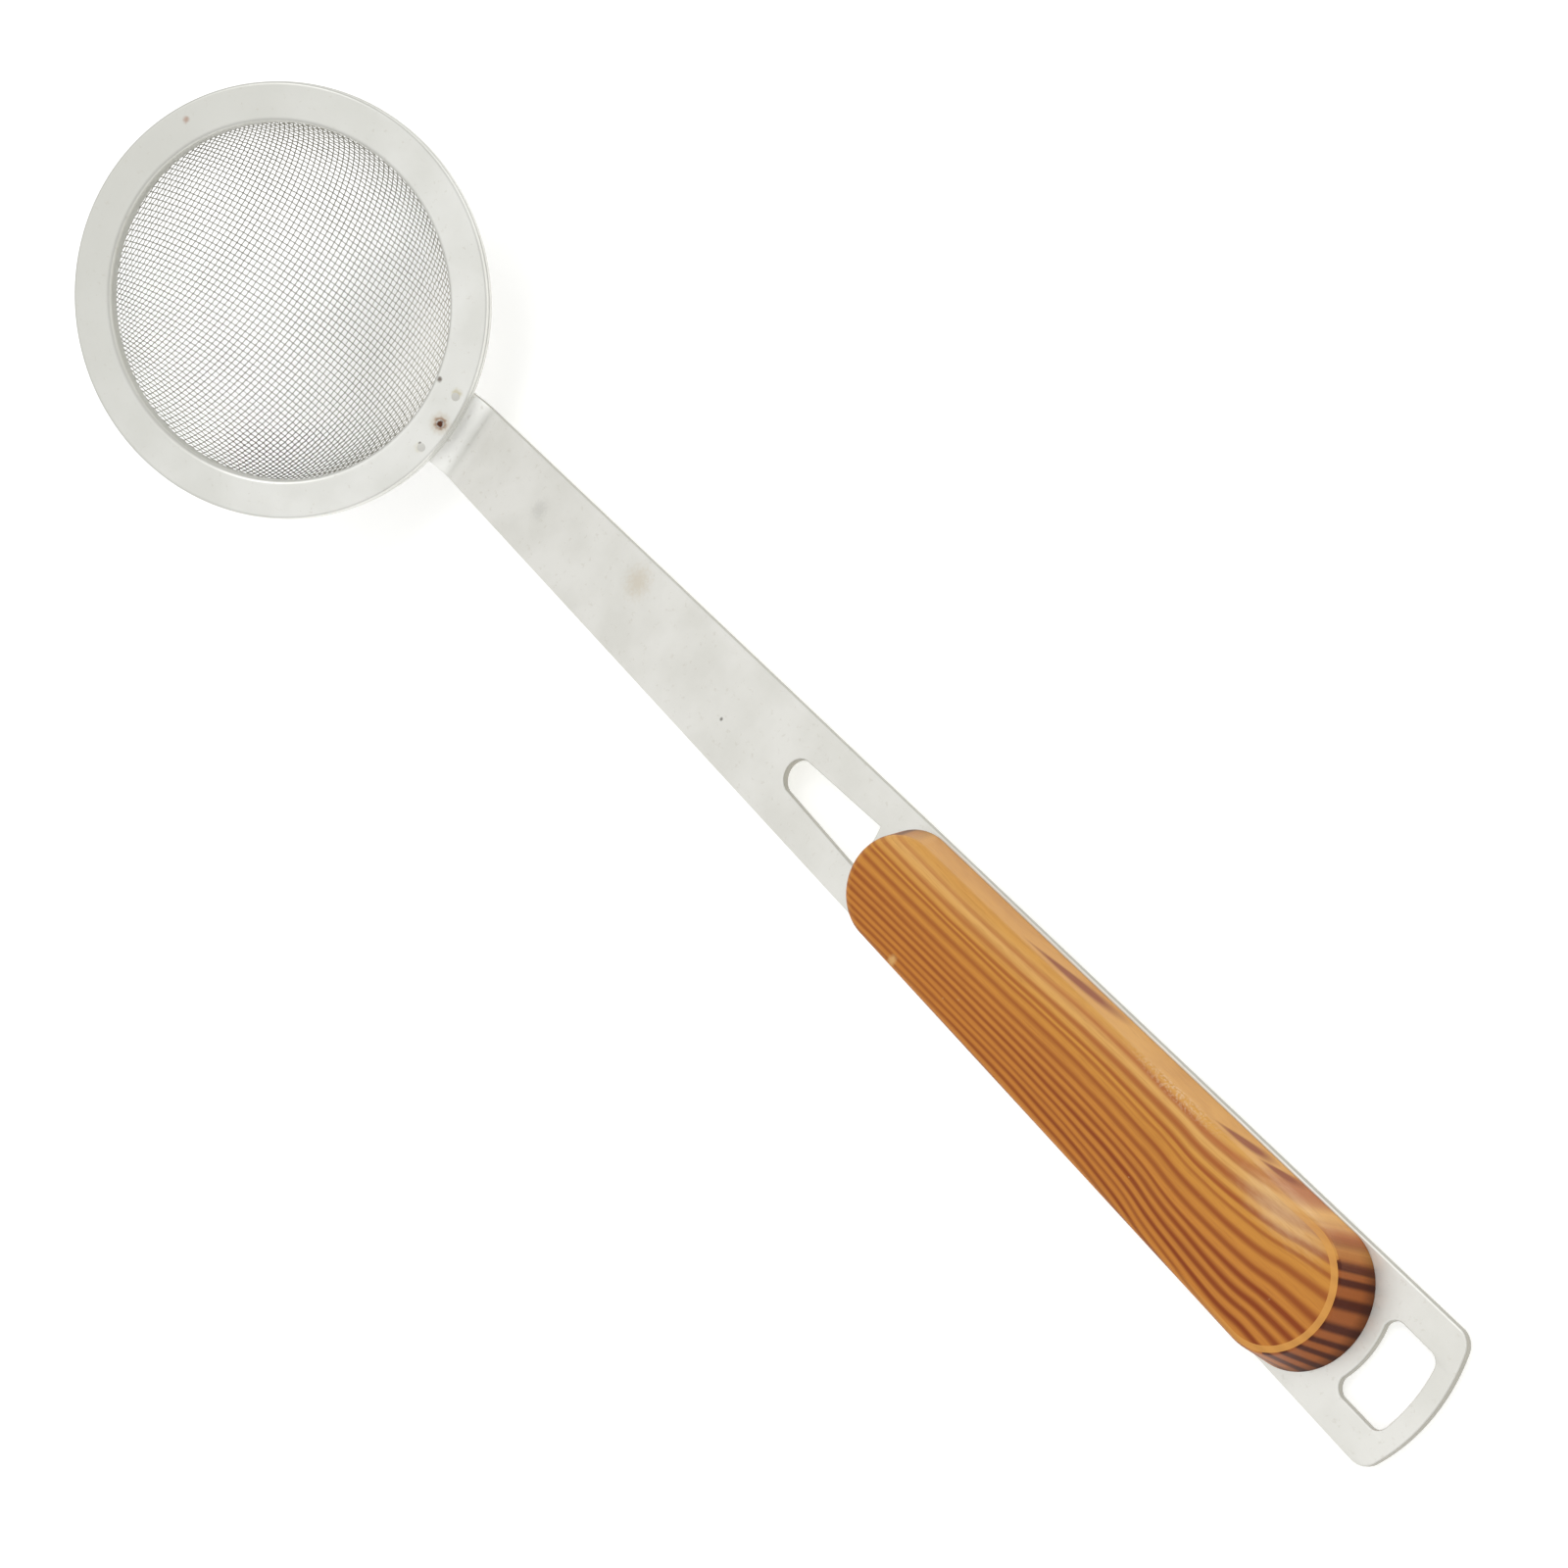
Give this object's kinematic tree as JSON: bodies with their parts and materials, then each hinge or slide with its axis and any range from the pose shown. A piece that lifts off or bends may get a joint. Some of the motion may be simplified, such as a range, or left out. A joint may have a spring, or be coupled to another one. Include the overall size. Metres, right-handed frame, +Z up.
{
  "type": "tea strainer",
  "caption": "Long-handled tea strainer: a woven steel wire bowl between two rim rings, on a bent flat steel handle with a wooden grip scale, a slot and a hang hole.",
  "frame": {"origin": "on the surface that the strainer lies on, under the middle of its bounding box", "axes": "+X from the bowl to the hanging end of the handle, +Z up, +Y across; it lies on the bottom of the bowl and on the end of the handle"},
  "size_m": [0.3074, 0.075, 0.0531],
  "materials": {
    "rim_steel": "turned stainless steel, satin with a soft shine and a few brown specks",
    "wire_cloth": "plain woven stainless wire, dull grey, tea-stained in one patch",
    "weld_rust": "spot-weld nuggets tinted and rusted brown",
    "strap_steel": "pressed stainless strip, matt with faint grey marks",
    "pine": "oiled pine with straight red-brown grain, worn edges",
    "screw_steel": "plain steel screw, satin"
  },
  "bodies": {
    "root": {"rim_upper_ring": "rim_steel", "rim_lower_ring": "rim_steel", "mesh_bowl": "wire_cloth", "spot_welds": "weld_rust", "handle_strap": "strap_steel", "grip_scale": "pine", "grip_screws": "screw_steel"}
  },
  "joints": []
}
